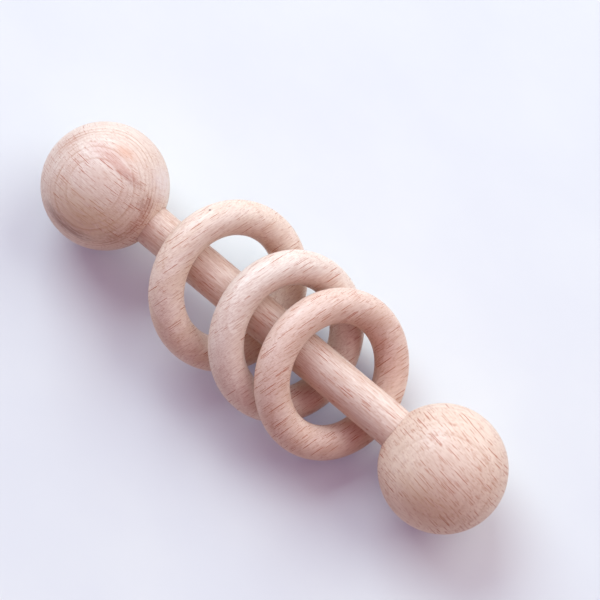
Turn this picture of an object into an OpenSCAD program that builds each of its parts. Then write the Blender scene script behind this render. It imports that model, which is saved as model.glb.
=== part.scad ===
// Wooden rattle: a turned rod with a ball glued on each end and three loose rings threaded on it.
// It lies on a table. The rod runs along X, Z is up, and the origin is on the table under the
// middle of the rod. Each ring stands on the table and leans on top of the rod, and the last
// ring lies close against the one before it.

/* [Balls] */
// Diameter of each end ball
ball_d = 38.1; // [36:0.1:46]
// Width of the eased edge round the mouth of each ball's bore
mouth_ease = 0.2; // [0.1:0.05:0.6]

/* [Rod] */
// Diameter of the rod
rod_d = 12.7; // [9:0.1:14]
// Length of rod that shows between the two balls
grip_length = 93.5; // [88:0.5:140]
// Depth of the rod in each ball, from the mouth of the bore
seat_depth = 20; // [12:0.5:24]
// Chamfer on each end of the rod
rod_chamfer = 0.8; // [0.2:0.1:2]

/* [Glue joints] */
// Radial room for glue between the rod and its bore
glue_gap = 0.05; // [0.02:0.01:0.1]
// Room for glue past each end of the rod
glue_pocket = 1; // [0.5:0.1:3]
// Included angle of the drill point at the bottom of the bore
drill_angle = 118; // [90:1:140]

/* [Rings] */
// Outside diameter of each ring
ring_d = 52; // [46:0.2:60]
// Diameter of a ring's round section
ring_section = 10.4; // [8:0.1:11.5]

/* [Rest pose] */
// Gap left where a ring leans on the rod
lean_gap = 0.25; // [0.1:0.05:0.5]
// Gap left where two rings, or a ring and a ball, come closest
stack_gap = 0.3; // [0.2:0.05:0.6]
// Share of the rings' free travel that lies between the left ball and the left ring
left_share = 0.5; // [0:0.01:0.6]
// Share of the rings' free travel that lies between the left ring and the middle ring
middle_share = 0.2; // [0:0.01:0.4]
// How far the left ring stands off the rod's line, along Y
left_off = 1; // [-3:0.1:3]
// How far the middle ring stands off the rod's line, along Y
middle_off = 0.6; // [-3:0.1:3]
// How far the right ring stands off the rod's line, along Y
right_off = 0.6; // [-3:0.1:3]
// Turn of the left ring about the vertical
left_turn = -2.5; // [-6:0.5:6]
// Turn of the middle ring and of the right ring, which lies against it
stack_turn = 1; // [-6:0.5:6]

/* [Hidden] */
$fn = 96;
beech = "#dcbca5";
beech_light = "#e3c6b1";
// How far a cut runs past the surface that it starts from
cut_past = 1;

// Balls and rod
ball_r = ball_d / 2;
rod_r = rod_d / 2;
axis_z = ball_r;
bore_r = rod_r + glue_gap;
// Distance from a ball's centre to the plane where its bore breaks out of the sphere
mouth = sqrt(ball_r * ball_r - bore_r * bore_r);
ball_at = grip_length / 2 + mouth;
rod_length = grip_length + 2 * seat_depth;
drill_tip = bore_r / tan(drill_angle / 2);

// Rings: radius of the line through the middle of the section, and the lean that rests a ring
// on the table and on the rod when it stands off the rod's line
section_r = ring_section / 2;
ring_r = (ring_d - ring_section) / 2;
function lean(off) = asin((axis_z + rod_r + lean_gap) / (ring_r + sqrt(ring_r * ring_r - off * off)));
function ring_z(off) = section_r + ring_r * sin(lean(off));

// Stops along the rod: the left ring's high side meets the left ball, and the right ring's
// low side meets the right ball
stop_reach = ball_r + section_r + stack_gap;
high_side = ring_z(left_off) + ring_r * sin(lean(left_off)) - axis_z;
low_side = axis_z - section_r;
left_stop = -ball_at + sqrt(stop_reach * stop_reach - high_side * high_side) + ring_r * cos(lean(left_off));
right_stop = ball_at - sqrt(stop_reach * stop_reach - low_side * low_side) - ring_r * cos(lean(right_off));

// Least distance along the rod from one ring to the next, with room for the turn between them
closest = (ring_section + stack_gap) / sin(lean(0));
turn_room = ring_d / 2 * abs(sin(stack_turn - left_turn));
free_travel = right_stop - left_stop - 2 * closest - turn_room;
left_at = left_stop + left_share * free_travel;
middle_at = left_at + closest + turn_room + middle_share * free_travel;
right_at = middle_at + closest;

echo(overall_length = 2 * (ball_at + ball_r), free_travel = free_travel);
echo(rings_at = [left_at, middle_at, right_at], lean = lean(0), ring_centre_z = ring_z(0));
echo(left_travel = left_stop - left_at, right_travel = right_stop - right_at);
echo(travel_between_left_and_middle = middle_share * free_travel);

// The rod: a plain cylinder with a chamfer on each end, where it sits in a ball
module rod() {
    half = rod_length / 2;
    color(beech)
        translate([0, 0, axis_z])
            rotate([0, 90, 0])
                rotate_extrude()
                    polygon([
                        [0, -half], [rod_r - rod_chamfer, -half], [rod_r, -half + rod_chamfer],
                        [rod_r, half - rod_chamfer], [rod_r - rod_chamfer, half], [0, half]
                    ]);
}

// The drilled hole in a ball, along Z from its mouth inwards: an eased edge, a straight bore and
// the cone that the drill's point leaves
module bore() {
    over = ball_r - mouth + cut_past;
    straight = seat_depth + glue_pocket;
    rotate_extrude()
        polygon([
            [0, -over], [bore_r + mouth_ease + over, -over], [bore_r, mouth_ease],
            [bore_r, straight], [0, straight + drill_tip]
        ]);
}

// A ball with its bore, centred on the origin, with the mouth on its -X side
module drilled_ball() {
    color(beech_light)
        rotate([0, 90, 0])
            difference() {
                sphere(r = ball_r);
                translate([0, 0, -mouth])
                    bore();
            }
}

module ball_left() {
    translate([-ball_at, 0, axis_z])
        mirror([1, 0, 0])
            drilled_ball();
}

module ball_right() {
    translate([ball_at, 0, axis_z])
        drilled_ball();
}

// A ring that stands on the table and leans on the rod, high side towards the left ball
module leaning_ring(at, off, turn) {
    color(beech)
        translate([at, off, ring_z(off)])
            rotate([0, lean(off), turn])
                rotate_extrude()
                    translate([ring_r, 0])
                        circle(r = section_r);
}

module ring_left() {
    leaning_ring(left_at, left_off, left_turn);
}

module ring_middle() {
    leaning_ring(middle_at, middle_off, stack_turn);
}

module ring_right() {
    leaning_ring(right_at, right_off, stack_turn);
}

rod();
ball_left();
ball_right();
ring_left();
ring_middle();
ring_right();
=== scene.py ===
"""Looks of a wooden rattle in bare beech: a rod, a ball on each end and three loose rings.

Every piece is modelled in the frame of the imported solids, in metres. Sizes of the grain are in
millimetres, because each material first turns its piece's coordinates into millimetres along
the grain, along the tree's radius and round the tree.
"""

from __future__ import annotations

import logging
import math
from dataclasses import dataclass
from enum import Enum
from typing import Callable, Union

import bmesh
import bpy
from mathutils import Euler, Matrix, Vector


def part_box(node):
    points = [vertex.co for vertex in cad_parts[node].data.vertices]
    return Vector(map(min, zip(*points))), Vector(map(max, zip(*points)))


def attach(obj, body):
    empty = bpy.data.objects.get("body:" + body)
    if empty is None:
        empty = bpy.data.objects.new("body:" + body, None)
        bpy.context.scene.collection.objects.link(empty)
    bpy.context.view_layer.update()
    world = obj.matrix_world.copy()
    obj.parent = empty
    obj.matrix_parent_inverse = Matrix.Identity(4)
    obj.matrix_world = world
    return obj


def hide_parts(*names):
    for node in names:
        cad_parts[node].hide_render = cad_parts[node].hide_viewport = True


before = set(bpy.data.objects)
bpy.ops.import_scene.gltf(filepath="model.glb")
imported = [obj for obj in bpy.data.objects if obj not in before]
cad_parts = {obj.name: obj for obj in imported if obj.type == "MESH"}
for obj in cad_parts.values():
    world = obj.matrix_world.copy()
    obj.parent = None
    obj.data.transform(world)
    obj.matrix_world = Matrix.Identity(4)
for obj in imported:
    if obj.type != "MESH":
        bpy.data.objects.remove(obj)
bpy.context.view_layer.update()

LOG = logging.getLogger("rattle")
MM = 0.001
# Vertices closer than this are one vertex, and ends closer in height than this are level
SAME_PLACE = 1e-7
SAME_HEIGHT = 1e-9
# What smooth noise comes to on average
NOISE_MEAN = 0.5

Socket = bpy.types.NodeSocket
Sockets = dict[str, Socket]
Value = Union[Socket, float]
Triple = tuple[float, float, float]
Colour = Triple
Span = tuple[float, ...]


def linear(red: int, green: int, blue: int) -> Colour:
    """Turn a display colour into the linear colour that shaders use.

    Args:
        red: Red, 0 to 255.
        green: Green, 0 to 255.
        blue: Blue, 0 to 255.

    Returns:
        The linear red, green and blue, 0 to 1.
    """
    def channel(level: int) -> float:
        """One channel, by the display's own curve."""
        share = level / 255
        return share / 12.92 if share <= 0.04045 else ((share + 0.055) / 1.055) ** 2.4

    return channel(red), channel(green), channel(blue)


def opaque(colour: Colour) -> tuple[float, float, float, float]:
    """A colour with full cover, as colour sockets take it."""
    return (*colour, 1.0)


def direction(azimuth_deg: float, elevation_deg: float) -> Vector:
    """Point away from the rattle.

    Args:
        azimuth_deg: Turn about the vertical, from +X.
        elevation_deg: Angle above the table.

    Returns:
        The unit vector.
    """
    azimuth, elevation = math.radians(azimuth_deg), math.radians(elevation_deg)
    level = math.cos(elevation)
    return Vector((level * math.cos(azimuth), level * math.sin(azimuth), math.sin(elevation)))


class Body(Enum):
    """The moving bodies of the rattle."""

    BAR = "bar"
    LEFT_RING = "left_ring"
    MIDDLE_RING = "middle_ring"
    RIGHT_RING = "right_ring"


class Slot(Enum):
    """The material slots of the record."""

    ROD = "rod_beech"
    BALL = "ball_beech"
    RING = "ring_beech"


class Sketch:
    """Adds nodes to one shader tree and wires them up."""

    def __init__(self, tree: bpy.types.NodeTree) -> None:
        """Start on the node tree that is to be filled."""
        self.tree = tree

    def node(self, kind: str, **settings: object) -> bpy.types.Node:
        """Add a node and set its own properties.

        Args:
            kind: The node's type name.
            **settings: Properties of the node and their values.

        Returns:
            The new node.
        """
        made = self.tree.nodes.new(kind)
        for name, value in settings.items():
            setattr(made, name, value)
        return made

    def feed(self, target: Socket, value: object) -> None:
        """Link a socket into another one, or set a plain value on it.

        Args:
            target: The input to feed.
            value: A socket to link, or a value to set.
        """
        if isinstance(value, bpy.types.NodeSocket):
            self.tree.links.new(value, target)
        else:
            target.default_value = value

    def math(self, operation: str, *values: Value) -> Socket:
        """One step of arithmetic.

        Args:
            operation: The Math node's operation.
            *values: Its one, two or three inputs.

        Returns:
            The result.
        """
        step = self.node("ShaderNodeMath", operation=operation)
        for target, value in zip(step.inputs, values):
            self.feed(target, value)
        return step.outputs[0]

    def vector(self, operation: str, *values: object) -> Socket:
        """One step of vector arithmetic.

        Args:
            operation: The Vector Math node's operation.
            *values: Its inputs, sockets or triples.

        Returns:
            The resulting vector.
        """
        step = self.node("ShaderNodeVectorMath", operation=operation)
        for target, value in zip(step.inputs, values):
            self.feed(target, value)
        return step.outputs[0]

    def length(self, place: Socket) -> Socket:
        """Measure a vector.

        Args:
            place: The vector.

        Returns:
            Its length.
        """
        step = self.node("ShaderNodeVectorMath", operation="LENGTH")
        self.feed(step.inputs[0], place)
        return step.outputs["Value"]

    def split(self, place: Socket) -> tuple[Socket, Socket, Socket]:
        """Take a vector apart.

        Args:
            place: The vector.

        Returns:
            Its three parts.
        """
        step = self.node("ShaderNodeSeparateXYZ")
        self.feed(step.inputs[0], place)
        return step.outputs[0], step.outputs[1], step.outputs[2]

    def ramp(self, value: Value, low: Value, high: Value,
             start: Value = 0.0, end: Value = 1.0) -> Socket:
        """A smooth step from start to end as value goes from low to high.

        Args:
            value: The value to remap.
            low: Where the step starts.
            high: Where the step ends.
            start: The result at low.
            end: The result at high.

        Returns:
            The remapped value.
        """
        step = self.node("ShaderNodeMapRange", interpolation_type="SMOOTHSTEP")
        names = ("Value", "From Min", "From Max", "To Min", "To Max")
        for name, given in zip(names, (value, low, high, start, end)):
            self.feed(step.inputs[name], given)
        return step.outputs["Result"]

    def mix(self, share: Value, under: object, over: object) -> Socket:
        """Lay one colour over another.

        Args:
            share: How much of the upper colour shows, 0 to 1.
            under: The lower colour.
            over: The upper colour.

        Returns:
            The mixed colour.
        """
        step = self.node("ShaderNodeMix", data_type="RGBA")
        self.feed(step.inputs[0], share)
        for target, colour in ((step.inputs[6], under), (step.inputs[7], over)):
            linked = isinstance(colour, bpy.types.NodeSocket)
            self.feed(target, colour if linked else opaque(colour))
        return step.outputs[2]

    def noise(self, place: Socket, detail: float, roughness: float = 0.5) -> Socket:
        """Smooth noise, 0 to 1, one bump per unit of its place.

        Args:
            place: Where to sample it.
            detail: How many finer layers it holds.
            roughness: How strong the finer layers are.

        Returns:
            The noise value.
        """
        step = self.node("ShaderNodeTexNoise")
        self.feed(step.inputs["Vector"], place)
        self.feed(step.inputs["Scale"], 1.0)
        self.feed(step.inputs["Detail"], detail)
        self.feed(step.inputs["Roughness"], roughness)
        return step.outputs[0]

    def dice(self, seed: Socket) -> Socket:
        """Draw a random value that is the same wherever the seed is the same.

        Args:
            seed: The number to draw it from.

        Returns:
            The value, 0 to 1.
        """
        step = self.node("ShaderNodeTexWhiteNoise", noise_dimensions="1D")
        self.feed(step.inputs["W"], seed)
        return step.outputs["Value"]

    def seen(self) -> Socket:
        """Tell what is seen from what only gives light.

        Returns:
            1 where the camera sees a surface, directly or in gloss or glass, and 0 elsewhere.
        """
        rays = self.node("ShaderNodeLightPath")
        seen = self.math("MAXIMUM", rays.outputs["Is Camera Ray"], rays.outputs["Is Glossy Ray"])
        return self.math("MAXIMUM", seen, rays.outputs["Is Transmission Ray"])


@dataclass(frozen=True)
class Plates:
    """One size of ray plate, in millimetres along the grain, the radius and round the tree.

    A cell is the room that holds one plate, half is half of the plate's size, and start shifts
    the whole pattern.
    """

    cell: Triple
    half: Triple
    start: Triple = (0.0, 0.0, 0.0)


class GroupKit:
    """The shader groups that all the beech finishes share, each built once.

    A pitch is in bumps per millimetre along the grain, along the radius and round the tree.
    A span is where a smooth step starts and ends, and then, where given, its two results.
    """

    # Yearly layers: their bends, their uneven thickness and the dark late wood at their edges
    bend_pitch: Triple = (0.035, 0.11, 0.07)
    uneven_pitch: float = 0.45
    uneven_share: float = 0.8
    late_rise: Span = (0.5, 0.92)
    late_fall: Span = (0.93, 1.0, 1.0, 0.0)
    late_seed: float = 31.7
    late_weight: Span = (0.0, 1.0, 0.3, 1.0)
    break_pitch: Triple = (0.16, 0.3, 0.28)
    break_span: Span = (0.3, 0.6, 0.25, 1.0)

    # Ray plates: how they drift and crowd, their sizes, and how many are strong
    long_rays: Plates = Plates((6.4, 6.4, 0.52), (3.0, 3.2, 0.08))
    short_rays: Plates = Plates((3.0, 3.4, 0.36), (1.3, 1.7, 0.065), (13.7, 5.1, 8.3))
    pores: Plates = Plates((1.4, 0.9, 0.24), (0.6, 0.4, 0.06), (3.3, 21.0, 2.9))
    short_share: float = 0.85
    pore_share: float = 0.8
    drift_pitch: Triple = (0.05, 0.05, 0.12)
    drift_mm: Triple = (0.0, 0.0, 0.4)
    crowd_pitch: Triple = (0.05, 0.1, 0.1)
    crowd_span: Span = (0.35, 0.65, 0.75, 1.1)
    size_span: Span = (0.0, 1.0, 0.5, 1.2)
    strong_power: float = 1.5
    girth_gain: float = 0.55
    girth_least: float = 0.5
    plate_edge: Span = (0.7, 1.0, 1.0, 0.0)

    # Streaks along the grain
    broad_pitch: Triple = (0.03, 0.22, 0.3)
    broad_span: Span = (0.3, 0.7)
    fine_pitch: Triple = (0.22, 2.6, 3.2)
    fine_span: Span = (0.35, 0.7)

    # Stains, and the patches of painted shade that are laid in the same way
    stain_and_painted_shade_span: Span = (0.1, 1.0, 1.0, 0.0)
    stain_and_painted_shade_pitch: Triple = (0.12, 0.8, 0.9)
    stain_and_painted_shade_break: Span = (0.35, 0.55, 0.3, 1.0)

    # The whole: where rays are cut edge on, where layers are cut flat, and the bare surface
    fade_width: float = 0.22
    fade_least: float = 0.15
    flat_cut: Span = (0.86, 0.98, 1.0, 0.2)
    rough_span: Span = (0.0, 2.0, 0.34, 0.58)
    fine_dent: float = -0.35

    def __init__(self) -> None:
        """Start with no groups built."""
        self.built: dict[str, bpy.types.NodeTree] = {}

    def group(self, name: str, inputs: dict[str, str], outputs: dict[str, str],
              draw: Callable[[Sketch, Sockets], Sockets]) -> bpy.types.NodeTree:
        """Build a group the first time it is asked for.

        Args:
            name: The group's name.
            inputs: Each input's name and socket type.
            outputs: Each output's name and socket type.
            draw: Adds the nodes, and returns the socket for each output.

        Returns:
            The group's node tree.
        """
        if name in self.built:
            return self.built[name]
        tree = bpy.data.node_groups.new(name, "ShaderNodeTree")
        for side, sockets in (("INPUT", inputs), ("OUTPUT", outputs)):
            for label, kind in sockets.items():
                tree.interface.new_socket(label, in_out=side, socket_type=f"NodeSocket{kind}")
        sketch = Sketch(tree)
        entry = sketch.node("NodeGroupInput")
        leave = sketch.node("NodeGroupOutput")
        results = draw(sketch, {label: entry.outputs[label] for label in inputs})
        for label, socket in results.items():
            sketch.feed(leave.inputs[label], socket)
        self.built[name] = tree
        return tree

    def place(self, sketch: Sketch, tree: bpy.types.NodeTree, **values: object) -> Sockets:
        """Put a group into a tree and feed its inputs.

        Args:
            sketch: The tree that the group goes into.
            tree: The group.
            **values: Inputs by name, with underscores for spaces.

        Returns:
            The placed group's outputs by name.
        """
        placed = sketch.node("ShaderNodeGroup", node_tree=tree)
        for label, value in values.items():
            sketch.feed(placed.inputs[label.replace("_", " ")], value)
        return {socket.name: socket for socket in placed.outputs}

    def growth(self) -> bpy.types.NodeTree:
        """The tree's yearly layers: a tone for each layer and the darker late wood at its edge.

        Returns:
            The group's node tree.
        """
        def draw(sketch: Sketch, given: Sockets) -> Sockets:
            """Measure the distance from the pith, bend it a little, and cut it into layers.

            Args:
                sketch: The group's tree.
                given: The group's inputs.

            Returns:
                The group's outputs.
            """
            along, outwards, around = sketch.split(given["Wood"])
            place = sketch.vector("MULTIPLY", given["Wood"], self.bend_pitch)
            bend = sketch.math("SUBTRACT", sketch.noise(place, detail=1.0), NOISE_MEAN)
            bend = sketch.math("MULTIPLY", bend, given["Wander"])
            tilt = sketch.math("MULTIPLY", along, given["Slope"])
            out = sketch.math("ADD", sketch.math("ADD", outwards, tilt), given["Pith"])
            across = sketch.math("POWER", around, 2.0)
            square = sketch.math("ADD", sketch.math("MULTIPLY", out, out), across)
            reach = sketch.math("SUBTRACT", sketch.math("SQRT", square), given["Pith"])
            years = sketch.math("DIVIDE", sketch.math("ADD", reach, bend), given["Thickness"])
            lane = sketch.node("ShaderNodeCombineXYZ")
            sketch.feed(lane.inputs[0], sketch.math("MULTIPLY", years, self.uneven_pitch))
            uneven = sketch.noise(lane.outputs[0], detail=0.0)
            uneven = sketch.math("SUBTRACT", uneven, NOISE_MEAN)
            years = sketch.math("ADD", years, sketch.math("MULTIPLY", uneven, self.uneven_share))
            year = sketch.math("FLOOR", years)
            season = sketch.math("SUBTRACT", years, year)
            late = sketch.math("MULTIPLY", sketch.ramp(season, *self.late_rise),
                               sketch.ramp(season, *self.late_fall))
            chance = sketch.dice(sketch.math("ADD", year, self.late_seed))
            weight = sketch.ramp(chance, *self.late_weight)
            place = sketch.vector("MULTIPLY", given["Wood"], self.break_pitch)
            broken = sketch.noise(place, detail=2.0)
            late = sketch.math("MULTIPLY", late, sketch.ramp(broken, *self.break_span))
            return {"Tone": sketch.dice(year), "Edge": sketch.math("MULTIPLY", late, weight)}

        inputs = {"Wood": "Vector", "Thickness": "Float", "Pith": "Float", "Wander": "Float",
                  "Slope": "Float"}
        return self.group("beech_growth", inputs, {"Tone": "Float", "Edge": "Float"}, draw)

    def rays(self) -> bpy.types.NodeTree:
        """The short dark flecks of beech: thin plates along the grain and the radius.

        Returns:
            The group's node tree.
        """
        def draw(sketch: Sketch, given: Sockets) -> Sockets:
            """Scatter one plate in each stretched cell, bend them a little and keep a share.

            Args:
                sketch: The group's tree.
                given: The group's inputs.

            Returns:
                The group's outputs.
            """
            drift = sketch.node("ShaderNodeTexNoise")
            slow = sketch.vector("MULTIPLY", given["Wood"], self.drift_pitch)
            sketch.feed(drift.inputs["Vector"], slow)
            sketch.feed(drift.inputs["Scale"], 1.0)
            sketch.feed(drift.inputs["Detail"], 0.0)
            sway = sketch.vector("SUBTRACT", drift.outputs[1], (NOISE_MEAN,) * 3)
            sway = sketch.vector("MULTIPLY", sway, self.drift_mm)
            moved = sketch.vector("ADD", given["Wood"], sway)
            place = sketch.vector("DIVIDE", moved, given["Cell"])
            plates = sketch.node("ShaderNodeTexVoronoi")
            sketch.feed(plates.inputs["Vector"], place)
            sketch.feed(plates.inputs["Scale"], 1.0)
            away = sketch.vector("SUBTRACT", place, plates.outputs["Position"])
            away = sketch.vector("MULTIPLY", away, given["Cell"])
            away = sketch.vector("DIVIDE", away, given["Plate"])
            chance = sketch.node("ShaderNodeSeparateColor")
            sketch.feed(chance.inputs[0], plates.outputs["Color"])
            size = sketch.ramp(chance.outputs[1], *self.size_span)
            flat = sketch.length(sketch.vector("MULTIPLY", away, (1.0, 1.0, 0.0)))
            thick = sketch.math("ABSOLUTE", sketch.split(away)[2])
            crowd = sketch.vector("MULTIPLY", given["Wood"], self.crowd_pitch)
            crowd = sketch.noise(crowd, detail=1.0)
            share = sketch.math("MULTIPLY", given["Share"], sketch.ramp(crowd, *self.crowd_span))
            least = sketch.math("SUBTRACT", 1.0, share)
            kept = sketch.ramp(chance.outputs[0], least, 1.0)
            kept = sketch.math("POWER", kept, self.strong_power)
            girth = sketch.math("MULTIPLY_ADD", kept, self.girth_gain, self.girth_least)
            reach = sketch.math("MAXIMUM", flat, sketch.math("DIVIDE", thick, girth))
            inside = sketch.ramp(sketch.math("DIVIDE", reach, size), *self.plate_edge)
            return {"Mask": sketch.math("MULTIPLY", inside, kept)}

        inputs = {"Wood": "Vector", "Cell": "Vector", "Plate": "Vector", "Share": "Float"}
        return self.group("beech_rays", inputs, {"Mask": "Float"}, draw)

    def scatter(self, sketch: Sketch, wood: Socket, plates: Plates, share: Value) -> Socket:
        """Scatter ray plates of one size through the wood.

        Args:
            sketch: The tree that they go into.
            wood: The place in the wood.
            plates: Their size.
            share: How many of them show.

        Returns:
            How strongly a plate shows, 0 to 1.
        """
        moved = sketch.vector("ADD", wood, plates.start)
        placed = self.place(sketch, self.rays(), Wood=moved, Cell=plates.cell, Plate=plates.half,
                            Share=share)
        return placed["Mask"]

    def fibre(self) -> bpy.types.NodeTree:
        """Soft streaks along the grain, broad ones and fine ones.

        Returns:
            The group's node tree.
        """
        def draw(sketch: Sketch, given: Sockets) -> Sockets:
            """Stretch two layers of noise along the grain.

            Args:
                sketch: The group's tree.
                given: The group's inputs.

            Returns:
                The group's outputs.
            """
            wood = given["Wood"]
            broad = sketch.noise(sketch.vector("MULTIPLY", wood, self.broad_pitch),
                                 detail=3.0, roughness=0.55)
            fine = sketch.noise(sketch.vector("MULTIPLY", wood, self.fine_pitch),
                                detail=2.0, roughness=0.65)
            return {"Broad": sketch.ramp(broad, *self.broad_span),
                    "Fine": sketch.ramp(fine, *self.fine_span)}

        outputs = {"Broad": "Float", "Fine": "Float"}
        return self.group("beech_fibre", {"Wood": "Vector"}, outputs, draw)

    def stain_and_painted_shade(self) -> bpy.types.NodeTree:
        """A soft streaky patch of another colour, for real stained wood and for painted shade.

        Returns:
            The group's node tree.
        """
        def draw(sketch: Sketch, given: Sockets) -> Sockets:
            """Fade out from the middle of the patch and break it up along the grain.

            Args:
                sketch: The group's tree.
                given: The group's inputs.

            Returns:
                The group's outputs.
            """
            away = sketch.vector("SUBTRACT", given["Wood"], given["At"])
            away = sketch.vector("DIVIDE", away, given["Size"])
            inside = sketch.ramp(sketch.length(away), *self.stain_and_painted_shade_span)
            place = sketch.vector("MULTIPLY", given["Wood"], self.stain_and_painted_shade_pitch)
            broken = sketch.noise(place, detail=4.0, roughness=0.6)
            mask = sketch.math("MULTIPLY", inside, sketch.ramp(broken, *self.stain_and_painted_shade_break))
            plain = sketch.math("SUBTRACT", 1.0, given["Lines"])
            lined = sketch.ramp(given["Edge"], 0.0, 1.0, plain, 1.0)
            mask = sketch.math("MULTIPLY", sketch.math("MULTIPLY", mask, lined), given["Strength"])
            return {"Color": sketch.mix(mask, given["Color"], given["Stain"])}

        inputs = {"Wood": "Vector", "Color": "Color", "Stain": "Color", "At": "Vector",
                  "Size": "Vector", "Edge": "Float", "Lines": "Float", "Strength": "Float"}
        return self.group("beech_stain_and_painted_shade", inputs, {"Color": "Color"}, draw)

    def beech(self) -> bpy.types.NodeTree:
        """Bare beech: colour, roughness and height from layers, streaks, flecks and pores.

        Returns:
            The group's node tree.
        """
        def draw(sketch: Sketch, given: Sockets) -> Sockets:
            """Lay the marks of the wood over each other, from the broadest to the finest.

            Args:
                sketch: The group's tree.
                given: The group's inputs.

            Returns:
                The group's outputs.
            """
            wood = given["Wood"]
            layers = self.place(sketch, self.growth(), Wood=wood, Thickness=given["Thickness"],
                                Pith=given["Pith"], Wander=given["Wander"], Slope=given["Slope"])
            streaks = self.place(sketch, self.fibre(), Wood=wood)
            long_rays = self.scatter(sketch, wood, self.long_rays, given["Flecks"])
            short_rays = self.scatter(sketch, wood, self.short_rays, self.short_share)
            pores = self.scatter(sketch, wood, self.pores, self.pore_share)

            along, outwards, around = sketch.split(given["Side"])
            fade_to = sketch.math("ADD", given["Fade From"], self.fade_width)
            edge_on = sketch.ramp(sketch.math("ABSOLUTE", around), given["Fade From"], fade_to,
                                  1.0, self.fade_least)
            long_rays = sketch.math("MULTIPLY", long_rays, edge_on)
            short_rays = sketch.math("MULTIPLY", short_rays, edge_on)
            tilt = sketch.math("MULTIPLY", along, given["Slope"])
            lift = sketch.math("ABSOLUTE", sketch.math("ADD", outwards, tilt))
            edge = sketch.math("MULTIPLY", layers["Edge"], sketch.ramp(lift, *self.flat_cut))

            banded = sketch.math("SUBTRACT", layers["Tone"], NOISE_MEAN)
            banded = sketch.math("MULTIPLY", banded, given["Bands"])
            warm = sketch.math("ADD", streaks["Broad"], banded)
            colour = sketch.mix(warm, given["Pale"], given["Warm"])
            for mark, weight, tint in (
                    (edge, "Late Wood", "Late"), (streaks["Fine"], "Streaks", "Late"),
                    (short_rays, "Hatch", "Fleck"), (long_rays, None, "Fleck"),
                    (pores, "Pores", "Fleck")):
                share = sketch.math("MULTIPLY", mark, given[weight]) if weight else mark
                colour = sketch.mix(share, colour, given[tint])

            marks = sketch.math("MAXIMUM", long_rays, sketch.math("MAXIMUM", short_rays, pores))
            rough = sketch.ramp(sketch.math("ADD", streaks["Fine"], marks), *self.rough_span)
            dents = sketch.math("MULTIPLY", marks, -1.0)
            furrows = sketch.math("MULTIPLY", streaks["Fine"], self.fine_dent)
            height = sketch.math("ADD", dents, furrows)
            return {"Color": colour, "Roughness": rough, "Height": height, "Edge": edge}

        inputs = {"Wood": "Vector", "Side": "Vector"}
        inputs |= {name: "Color" for name in ("Pale", "Warm", "Late", "Fleck")}
        inputs |= {name: "Float" for name in (
            "Thickness", "Pith", "Wander", "Slope", "Bands", "Late Wood", "Streaks", "Flecks",
            "Hatch", "Pores", "Fade From")}
        outputs = {"Color": "Color", "Roughness": "Float", "Height": "Float", "Edge": "Float"}
        return self.group("beech", inputs, outputs, draw)


@dataclass(frozen=True)
class GrainFrame:
    """Where a piece sat in its tree: its middle, its grain and its direction away from the pith."""

    middle: Vector
    grain: Vector
    outwards: Vector
    shift_mm: Triple = (0.0, 0.0, 0.0)

    def mapping(self) -> tuple[Vector, Euler]:
        """Work out the Mapping node that turns metres in the frame into millimetres of wood.

        Returns:
            The node's location and rotation.
        """
        along = self.grain.normalized()
        radius = (self.outwards - along * self.outwards.dot(along)).normalized()
        around = along.cross(radius)
        turn = Matrix((along, radius, around))
        return Vector(self.shift_mm) - turn @ (self.middle / MM), turn.to_euler("XYZ")


class BeechTone(Enum):
    """The shades of beech among the pieces, each with its paler and its warmer wood."""

    STRAW = (linear(237, 211, 191), linear(231, 202, 178))
    PALE = (linear(237, 215, 196), linear(230, 205, 186))
    HONEY = (linear(232, 209, 190), linear(225, 196, 176))
    PEACH = (linear(234, 205, 182), linear(228, 197, 173))
    ROSY = (linear(232, 201, 181), linear(225, 190, 168))
    RUSSET = (linear(231, 205, 185), linear(222, 192, 171))

    @property
    def pale(self) -> Colour:
        """The paler wood."""
        return self.value[0]

    @property
    def warm(self) -> Colour:
        """The warmer wood."""
        return self.value[1]


@dataclass(frozen=True)
class Stain:
    """A soft patch of another colour, placed along the grain, the radius and round the tree. It
    serves for real stained patches in the wood and, on the balls, for painted shade.
    """

    at_mm: Triple
    size_mm: Triple
    colour: Colour
    strength: float
    lines: float = 0.0


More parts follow.
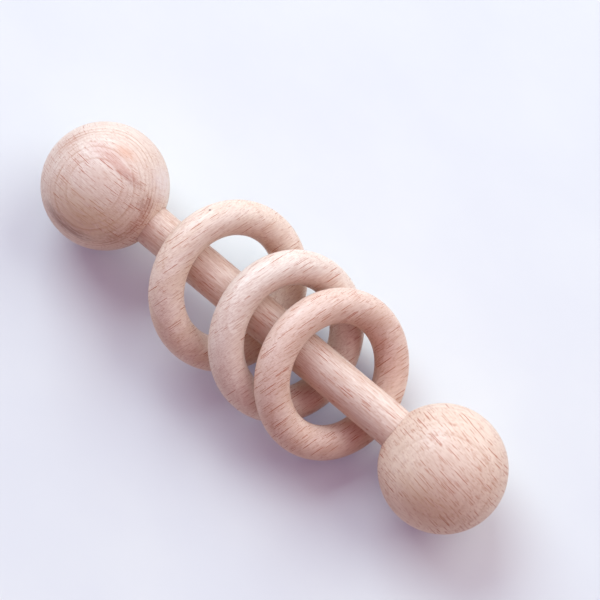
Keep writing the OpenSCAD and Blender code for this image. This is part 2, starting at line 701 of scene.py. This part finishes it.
@dataclass(frozen=True)
class BeechFinish:
    """Bare sanded beech on one piece.

    The year layers have a thickness, a pith at some distance, a wander and a slope along the
    grain. Bands, late wood, streaks, flecks, hatch and pores say how strongly each mark shows.
    Flecks fade where the surface turns round the tree by more than fade_from.
    """

    name: str
    grain: GrainFrame
    tone: BeechTone
    late: Colour = linear(181, 120, 88)
    fleck: Colour = linear(170, 72, 28)
    layer_mm: float = 2.4
    pith_mm: float = 70.0
    wander_mm: float = 1.6
    slope: float = 0.0
    bands: float = 0.5
    late_wood: float = 0.3
    streaks: float = 0.3
    flecks: float = 1.0
    hatch: float = 0.55
    pores: float = 0.45
    fade_from: float = 0.75
    stains_and_painted_shade: tuple[Stain, ...] = ()
    bump_mm: float = 0.006
    bump_strength: float = 0.6
    specular: float = 0.27

    def wood_place(self, sketch: Sketch) -> tuple[Socket, Socket]:
        """Read where a point lies in the wood.

        Args:
            sketch: The material's tree.

        Returns:
            The place in millimetres of wood and the surface's direction, along the grain, the
            radius and round the tree.
        """
        place = sketch.node("ShaderNodeTexCoord")
        location, rotation = self.grain.mapping()
        wood = sketch.node("ShaderNodeMapping", vector_type="POINT")
        sketch.feed(wood.inputs["Vector"], place.outputs["Object"])
        wood.inputs["Location"].default_value = location
        wood.inputs["Rotation"].default_value = rotation
        wood.inputs["Scale"].default_value = (1 / MM, 1 / MM, 1 / MM)
        side = sketch.node("ShaderNodeMapping", vector_type="NORMAL")
        sketch.feed(side.inputs["Vector"], place.outputs["Normal"])
        side.inputs["Rotation"].default_value = rotation
        return wood.outputs[0], side.outputs[0]

    def material(self, kit: GroupKit) -> bpy.types.Material:
        """Build the finish as a material.

        Args:
            kit: The shader groups to build it from.

        Returns:
            The new material.
        """
        made = bpy.data.materials.new(self.name)
        made.use_nodes = True
        made.node_tree.nodes.clear()
        sketch = Sketch(made.node_tree)
        wood, side = self.wood_place(sketch)
        beech = kit.place(
            sketch, kit.beech(), Wood=wood, Side=side, Pale=opaque(self.tone.pale),
            Warm=opaque(self.tone.warm), Late=opaque(self.late), Fleck=opaque(self.fleck),
            Thickness=self.layer_mm, Pith=self.pith_mm, Wander=self.wander_mm, Slope=self.slope,
            Bands=self.bands, Late_Wood=self.late_wood, Streaks=self.streaks, Flecks=self.flecks,
            Hatch=self.hatch, Pores=self.pores, Fade_From=self.fade_from)
        colour = beech["Color"]
        for stain_and_painted_shade in self.stains_and_painted_shade:
            colour = kit.place(
                sketch, kit.stain_and_painted_shade(), Wood=wood, Color=colour, Stain=opaque(stain_and_painted_shade.colour),
                At=stain_and_painted_shade.at_mm, Size=stain_and_painted_shade.size_mm, Edge=beech["Edge"], Lines=stain_and_painted_shade.lines,
                Strength=stain_and_painted_shade.strength)["Color"]
        bump = sketch.node("ShaderNodeBump")
        bump.inputs["Strength"].default_value = self.bump_strength
        bump.inputs["Distance"].default_value = self.bump_mm * MM
        sketch.feed(bump.inputs["Height"], beech["Height"])
        skin = sketch.node("ShaderNodeBsdfPrincipled")
        skin.inputs["Specular IOR Level"].default_value = self.specular
        sketch.feed(skin.inputs["Base Color"], colour)
        sketch.feed(skin.inputs["Roughness"], beech["Roughness"])
        sketch.feed(skin.inputs["Normal"], bump.outputs[0])
        leave = sketch.node("ShaderNodeOutputMaterial")
        sketch.feed(leave.inputs["Surface"], skin.outputs[0])
        return made


def finish_piece(name: str, shape: bmesh.types.BMesh, node: str, body: Body,
                 material: bpy.types.Material) -> bpy.types.Object:
    """Turn a finished bmesh into a piece of the rattle that stands for one solid.

    Args:
        name: The piece's name.
        shape: Its mesh, in the frame. It is freed here.
        node: The solid that it stands for.
        body: The body that it moves with.
        material: Its material.

    Returns:
        The new object.
    """
    bmesh.ops.remove_doubles(shape, verts=shape.verts, dist=SAME_PLACE)
    bmesh.ops.recalc_face_normals(shape, faces=shape.faces)
    for face in shape.faces:
        face.smooth = True
    mesh = bpy.data.meshes.new(name)
    shape.to_mesh(mesh)
    shape.free()
    mesh.materials.append(material)
    piece = bpy.data.objects.new(name, mesh)
    bpy.context.scene.collection.objects.link(piece)
    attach(piece, body.value)
    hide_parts(node)
    return piece


def box_of(node: str) -> tuple[Vector, Vector, Vector]:
    """The lowest corner, the highest corner and the middle of a solid of the frame."""
    low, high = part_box(node)
    return low, high, (low + high) / 2


@dataclass
class Bar:
    """The rod and the two balls that are glued on its ends."""

    kit: GroupKit
    ball_segments: int = 192
    ball_rings: int = 128
    rod_segments: int = 96
    rod_cuts: int = 60
    rod_chamfer: float = 0.8 * MM
    mouth_ease: float = 0.2 * MM
    glue_gap: float = 0.05 * MM
    seat: float = 6.0 * MM

    def __post_init__(self) -> None:
        """Take the rod's size and place from the frame."""
        low, high, self.rod_middle = box_of("rod")
        self.rod_radius = (high.z - low.z) / 2
        self.rod_length = high.x - low.x

    def build(self) -> list[bpy.types.Object]:
        """Model and dress the rod and both balls.

        Returns:
            The three pieces.
        """
        grain = GrainFrame(self.rod_middle, Vector((1.0, 0.0, 0.0)), Vector((0.0, 0.35, 1.0)),
                           shift_mm=(40.0, 3.0, 11.0))
        wood = BeechFinish("rod_wood", grain, BeechTone.RUSSET, streaks=0.42)
        return [
            finish_piece("dowel", self.rod_shape(), "rod", Body.BAR,
                         wood.material(self.kit)),
            self.build_ball("ball_left", -1.0, self.left_wood),
            self.build_ball("ball_right", 1.0, self.right_wood),
        ]

    def rod_shape(self) -> bmesh.types.BMesh:
        """Model the dowel with its chamfered ends.

        Returns:
            The rod's mesh.
        """
        def rise(edge: bmesh.types.BMEdge) -> float:
            """How far an edge climbs along the rod."""
            return abs(edge.verts[0].co.z - edge.verts[1].co.z)

        shape = bmesh.new()
        bmesh.ops.create_cone(shape, cap_ends=True, segments=self.rod_segments,
                              radius1=self.rod_radius, radius2=self.rod_radius,
                              depth=self.rod_length)
        ends = [edge for edge in shape.edges if rise(edge) < SAME_HEIGHT]
        bmesh.ops.bevel(shape, geom=ends, offset=self.rod_chamfer, affect="EDGES", segments=1,
                        profile=0.5, material=-1)
        staves = [edge for edge in shape.edges if rise(edge) > self.rod_length / 2]
        bmesh.ops.subdivide_edges(shape, edges=staves, cuts=self.rod_cuts, use_grid_fill=True)
        turn = Matrix.Rotation(math.pi / 2, 4, "Y")
        place = Matrix.Translation(self.rod_middle) @ turn
        bmesh.ops.transform(shape, matrix=place, verts=shape.verts)
        return shape

    def build_ball(self, node: str, side: float,
                   wood: Callable[[Vector], BeechFinish]) -> bpy.types.Object:
        """Model and dress one ball.

        Args:
            node: The solid that it stands for.
            side: -1 for the ball at the rod's -X end, 1 for the other.
            wood: Works out the ball's finish from its centre.

        Returns:
            The ball.
        """
        low, high, middle = box_of(node)
        radius = (high.z - low.z) / 2
        centre = Vector((low.x + radius if side < 0 else high.x - radius, middle.y, middle.z))
        shape = self.ball_shape(centre, radius, -side)
        return finish_piece(f"{node}_turned", shape, node, Body.BAR,
                            wood(centre).material(self.kit))

    def ball_shape(self, middle: Vector, radius: float, mouth_side: float) -> bmesh.types.BMesh:
        """Model a turned ball with the mouth of its drilled bore.

        Args:
            middle: The ball's centre.
            radius: The ball's radius.
            mouth_side: 1 where the bore opens towards +X, -1 towards -X.

        Returns:
            The ball's mesh.
        """
        bore = self.rod_radius + self.glue_gap
        brim = bore + self.mouth_ease
        mouth = math.sqrt(radius ** 2 - brim ** 2)
        shape = bmesh.new()
        bmesh.ops.create_uvsphere(shape, u_segments=self.ball_segments,
                                  v_segments=self.ball_rings, radius=radius)
        bmesh.ops.bisect_plane(shape, geom=shape.verts[:] + shape.edges[:] + shape.faces[:],
                               dist=SAME_PLACE, plane_co=(0, 0, mouth), plane_no=(0, 0, 1),
                               clear_outer=True)
        rim = [edge for edge in shape.edges if edge.is_boundary]
        for edge in rim:
            edge.smooth = False
        for narrow, deep in ((bore / brim, self.mouth_ease), (1.0, self.seat)):
            grown = bmesh.ops.extrude_edge_only(shape, edges=rim)["geom"]
            verts = [item for item in grown if isinstance(item, bmesh.types.BMVert)]
            rim = [item for item in grown
                   if isinstance(item, bmesh.types.BMEdge) and item.is_boundary]
            bmesh.ops.scale(shape, vec=(narrow, narrow, 1.0), verts=verts)
            bmesh.ops.translate(shape, vec=(0, 0, -deep), verts=verts)
        bmesh.ops.contextual_create(shape, geom=rim)
        turn = Matrix.Rotation(mouth_side * math.pi / 2, 4, "Y")
        place = Matrix.Translation(middle) @ turn
        bmesh.ops.transform(shape, matrix=place, verts=shape.verts)
        return shape

    def left_wood(self, centre: Vector) -> BeechFinish:
        """Beech with close layers and reddish streaks round a plainer face, for the left ball, with
        painted shade in warm tan over its lower half.

        Args:
            centre: The ball's centre.

        Returns:
            The finish.
        """
        grain = GrainFrame(centre, Vector((1.0, 0.0, 0.0)), Vector((0.0, -0.34, 1.0)))
        stains_and_painted_shade = (
            # Painted shade: this broad warm tan patch lies over the ball's shaded lower half and
            # warms its shade.
            Stain((5.0, 15.0, 8.0), (20.0, 12.0, 12.0), linear(220, 188, 146), 0.55),
            Stain((1.0, 16.0, -9.8), (17.0, 5.0, 3.4), linear(193, 127, 110), 0.45),
            Stain((7.5, 15.0, -8.4), (9.0, 4.5, 2.0), linear(152, 76, 57), 0.42),
            Stain((1.5, 13.4, -13.4), (6.0, 5.0, 2.4), linear(212, 141, 105), 0.45),
            Stain((14.6, 10.8, -5.0), (5.0, 5.0, 4.6), linear(145, 59, 37), 0.95, 0.5),
            Stain((16.0, 9.7, 0.5), (4.5, 5.0, 7.0), linear(156, 67, 35), 1.0, 0.55),
            Stain((13.0, 10.4, 8.0), (9.0, 5.0, 7.5), linear(145, 69, 41), 1.0, 0.6),
            Stain((0.5, 11.8, 14.3), (16.0, 4.0, 4.0), linear(132, 72, 57), 0.85, 0.25),
            Stain((-13.5, 11.4, -5.0), (7.0, 4.4, 10.0), linear(173, 105, 78), 0.85, 0.6),
            Stain((14.0, 4.0, -12.0), (9.0, 10.0, 7.0), linear(238, 222, 214), 0.6),
        )
        return BeechFinish("ball_left_wood", grain, BeechTone.HONEY, layer_mm=1.1, wander_mm=1.2,
                           slope=0.05, late_wood=0.75, fade_from=0.5, stains_and_painted_shade=stains_and_painted_shade)

    def right_wood(self, centre: Vector) -> BeechFinish:
        """Even beech with a faint edge or two of its layers, for the right ball, with painted shade
        in tan on its lower left.

        Args:
            centre: The ball's centre.

        Returns:
            The finish.
        """
        swing = math.radians(-8.0)
        grain = GrainFrame(centre, Vector((math.cos(swing), math.sin(swing), 0.0)),
                           Vector((0.0, -0.2, 1.0)), shift_mm=(90.0, 0.0, 27.0))
        stains_and_painted_shade = (
            Stain((83.0, 14.5, 35.0), (13.0, 12.0, 11.0), linear(247, 221, 192), 0.4),
            # Painted shade: this tan patch lies over the ball's shaded lower left and warms its
            # shade.
            Stain((96.0, 15.0, 36.5), (19.0, 11.0, 11.0), linear(218, 184, 144), 0.4),
        )
        return BeechFinish("ball_right_wood", grain, BeechTone.PEACH, layer_mm=2.6, slope=0.22,
                           bands=0.2, late_wood=0.4, flecks=1.15, hatch=1.1, pores=0.7,
                           stains_and_painted_shade=stains_and_painted_shade)


@dataclass
class LooseRing:
    """One ring that leans on the rod.

    It turns about the vertical. Its grain has an angle in the ring's own plane, and the cut turns
    the tree's radius about the grain, away from the ring's axis.
    """

    kit: GroupKit
    node: str
    body: Body
    tone: BeechTone
    turn_deg: float
    grain_deg: float
    cut_deg: float
    flecks: float
    hatch: float
    shift_mm: Triple
    stains_and_painted_shade: tuple[Stain, ...] = ()
    section: float = 10.4 * MM
    section_segments: int = 64
    round_steps: int = 192

    def __post_init__(self) -> None:
        """Take the ring's size, place and lean from the frame."""
        low, high, self.middle = box_of(self.node)
        self.radius = (high.y - low.y - self.section) / 2
        self.lean = math.asin((high.z - low.z - self.section) / (2 * self.radius))

    def stance(self) -> Matrix:
        """The ring's own frame, with Z along its axis, as it lies on the rod."""
        turn = Matrix.Rotation(math.radians(self.turn_deg), 4, "Z")
        return Matrix.Translation(self.middle) @ turn @ Matrix.Rotation(self.lean, 4, "Y")

    def shape(self) -> bmesh.types.BMesh:
        """Model the ring by spinning its round section.

        Returns:
            The ring's mesh.
        """
        shape = bmesh.new()
        bmesh.ops.create_circle(shape, cap_ends=False, segments=self.section_segments,
                                radius=self.section / 2)
        upright = Matrix.Translation((self.radius, 0, 0)) @ Matrix.Rotation(math.pi / 2, 4, "X")
        bmesh.ops.transform(shape, matrix=upright, verts=shape.verts)
        bmesh.ops.spin(shape, geom=shape.verts[:] + shape.edges[:], cent=(0, 0, 0),
                       axis=(0, 0, 1), angle=2 * math.pi, steps=self.round_steps, use_merge=True)
        bmesh.ops.transform(shape, matrix=self.stance(), verts=shape.verts)
        return shape

    def build(self) -> bpy.types.Object:
        """Model and dress the ring.

        Returns:
            The ring.
        """
        stance = self.stance().to_3x3()
        swing = math.radians(self.grain_deg)
        along = stance @ Vector((math.sin(swing), math.cos(swing), 0.0))
        cut = Matrix.Rotation(math.radians(self.cut_deg), 3, along)
        grain = GrainFrame(self.middle, along, cut @ stance @ Vector((0.0, 0.0, 1.0)),
                           self.shift_mm)
        wood = BeechFinish(f"{self.node}_wood", grain, self.tone, flecks=self.flecks,
                           hatch=self.hatch, stains_and_painted_shade=self.stains_and_painted_shade)
        return finish_piece(f"{self.node}_turned", self.shape(), self.node, self.body,
                            wood.material(self.kit))


@dataclass(frozen=True)
class PhotoCamera:
    """The camera at the photograph's viewing angle."""

    azimuth_deg: float = -66.53
    elevation_deg: float = 78.04
    roll_deg: float = 16.84
    distance: float = 0.6785
    lens_mm: float = 138.6
    sensor_mm: float = 36.0
    aim: Triple = (0.00101, 0.0112, 0.01905)

    def build(self) -> None:
        """Add the camera and make it the scene's own."""
        back = direction(self.azimuth_deg, self.elevation_deg)
        azimuth = math.radians(self.azimuth_deg)
        level = Vector((-math.sin(azimuth), math.cos(azimuth), 0.0))
        turn = Matrix((level, back.cross(level), back)).transposed().to_4x4()
        turn = turn @ Matrix.Rotation(math.radians(self.roll_deg), 4, "Z")
        lens = bpy.data.cameras.new("photo_camera")
        lens.lens = self.lens_mm
        lens.sensor_width = self.sensor_mm
        camera = bpy.data.objects.new("photo_camera", lens)
        camera.matrix_world = Matrix.Translation(Vector(self.aim) + back * self.distance) @ turn
        bpy.context.scene.collection.objects.link(camera)
        bpy.context.scene.camera = camera


@dataclass(frozen=True)
class WindowLight:
    """A large soft square light that stands for a window."""

    name: str
    azimuth_deg: float
    elevation_deg: float
    side: float
    watts: float
    colour: Colour
    distance: float = 2.6

    def build(self) -> None:
        """Add the light, facing the rattle."""
        lamp = bpy.data.lights.new(self.name, "AREA")
        lamp.shape = "SQUARE"
        lamp.size = self.side
        lamp.energy = self.watts
        lamp.color = self.colour
        away = direction(self.azimuth_deg, self.elevation_deg)
        light = bpy.data.objects.new(self.name, lamp)
        light.rotation_euler = away.to_track_quat("Z", "Y").to_euler()
        light.location = away * self.distance
        bpy.context.scene.collection.objects.link(light)


@dataclass(frozen=True)
class Studio:
    """The pale table, two windows, and the world's soft light from the sky and the room."""

    table_size: float = 3.0
    # The table's two mottled shades, as it gives light and as it is seen, and its faint glow
    # where it is seen
    table_colours: tuple[Colour, Colour] = (linear(222, 220, 216), linear(226, 224, 219))
    shown_colours: tuple[Colour, Colour] = (linear(220, 213, 201), linear(224, 217, 203))
    table_glow: Colour = (0.03, 0.06, 0.12)
    table_specular: float = 0.2
    table_roughness: tuple[float, float] = (0.75, 0.85)
    mottle_pitch: Triple = (18.0, 26.0, 1.0)
    mottle_span: tuple[float, float] = (0.3, 0.7)
    # The sky is overhead, the room is low, and the span is the height where one meets the other
    sky_colour: Colour = (0.398, 0.184, 0.306)
    room_colour: Colour = (0.24, 0.168, 0.136)
    sky_span: tuple[float, float] = (0.3, 0.7)
    backdrop_colour: Colour = linear(243, 244, 250)
    windows: tuple[WindowLight, ...] = (
        WindowLight("left_window", azimuth_deg=149.5, elevation_deg=39.0, side=1.87, watts=86.5,
                    colour=(0.604, 0.827, 1.0)),
        WindowLight("right_window", azimuth_deg=69.0, elevation_deg=40.5, side=2.4, watts=60.6,
                    colour=(0.729, 0.91, 1.0)),
    )

    def build(self) -> None:
        """Add the table, the world and the windows."""
        self.build_table()
        self.build_world()
        for window in self.windows:
            window.build()
        bpy.context.scene.view_settings.view_transform = "Standard"

    def build_table(self) -> None:
        """Add the faintly mottled table top that the rattle lies on."""
        shape = bmesh.new()
        bmesh.ops.create_grid(shape, x_segments=1, y_segments=1, size=self.table_size / 2)
        mesh = bpy.data.meshes.new("table_top")
        shape.to_mesh(mesh)
        shape.free()
        mesh.materials.append(self.table_paint())
        table = bpy.data.objects.new("table_top", mesh)
        bpy.context.scene.collection.objects.link(table)

    def table_paint(self) -> bpy.types.Material:
        """Make the table's pale paint.

        Returns:
            The new material.
        """
        paint = bpy.data.materials.new("table_paint")
        paint.use_nodes = True
        paint.cycles.emission_sampling = "NONE"
        skin = paint.node_tree.nodes["Principled BSDF"]
        sketch = Sketch(paint.node_tree)
        place = sketch.node("ShaderNodeTexCoord").outputs["Object"]
        cloudy = sketch.noise(sketch.vector("MULTIPLY", place, self.mottle_pitch), detail=4.0)
        mottled = sketch.ramp(cloudy, *self.mottle_span)
        seen = sketch.seen()
        colour = sketch.mix(seen, sketch.mix(mottled, *self.table_colours),
                            sketch.mix(mottled, *self.shown_colours))
        rough = sketch.ramp(cloudy, *self.mottle_span, *self.table_roughness)
        sketch.feed(skin.inputs["Base Color"], colour)
        sketch.feed(skin.inputs["Roughness"], rough)
        sketch.feed(skin.inputs["Emission Strength"], seen)
        skin.inputs["Emission Color"].default_value = opaque(self.table_glow)
        skin.inputs["Specular IOR Level"].default_value = self.table_specular
        return paint

    def build_world(self) -> None:
        """Light the scene softly from all round, and show a pale backdrop to the camera."""
        world = bpy.data.worlds.new("studio")
        bpy.context.scene.world = world
        world.use_nodes = True
        world.node_tree.nodes.clear()
        sketch = Sketch(world.node_tree)
        height = sketch.split(sketch.node("ShaderNodeTexCoord").outputs["Generated"])[2]
        above = sketch.ramp(height, *self.sky_span)
        sky = sketch.node("ShaderNodeBackground")
        sketch.feed(sky.inputs["Color"], sketch.mix(above, self.room_colour, self.sky_colour))
        backdrop = sketch.node("ShaderNodeBackground")
        backdrop.inputs["Color"].default_value = opaque(self.backdrop_colour)
        choice = sketch.node("ShaderNodeMixShader")
        sketch.feed(choice.inputs[0], sketch.seen())
        sketch.feed(choice.inputs[1], sky.outputs[0])
        sketch.feed(choice.inputs[2], backdrop.outputs[0])
        leave = sketch.node("ShaderNodeOutputWorld")
        sketch.feed(leave.inputs["Surface"], choice.outputs[0])


def main() -> None:
    """Build the camera, the studio and every piece of the rattle."""
    logging.basicConfig(level=logging.INFO)
    PhotoCamera().build()
    Studio().build()
    kit = GroupKit()
    speck = Stain((18.85, 18.0, -15.5), (0.6, 0.6, 0.45), linear(92, 48, 56), 1.0)
    pieces = Bar(kit).build()
    for ring in (
        LooseRing(kit, "ring_left", Body.LEFT_RING, BeechTone.STRAW, turn_deg=-2.5,
                  grain_deg=14.0, cut_deg=-28.0, flecks=0.55, hatch=0.6,
                  shift_mm=(15.0, 4.4, 6.0), stains_and_painted_shade=(speck,)),
        LooseRing(kit, "ring_middle", Body.MIDDLE_RING, BeechTone.PALE, turn_deg=1.0,
                  grain_deg=18.5, cut_deg=-29.5, flecks=0.5, hatch=0.6,
                  shift_mm=(160.0, 2.5, 33.0)),
        LooseRing(kit, "ring_right", Body.RIGHT_RING, BeechTone.ROSY, turn_deg=1.0,
                  grain_deg=19.0, cut_deg=-31.0, flecks=1.0, hatch=0.75,
                  shift_mm=(310.0, 0.7, 71.0)),
    ):
        pieces.append(ring.build())
    for piece in pieces:
        LOG.info("%s: %d faces of %s", piece.name, len(piece.data.polygons),
                 piece.data.materials[0].name)


if __name__ == "__main__":
    main()
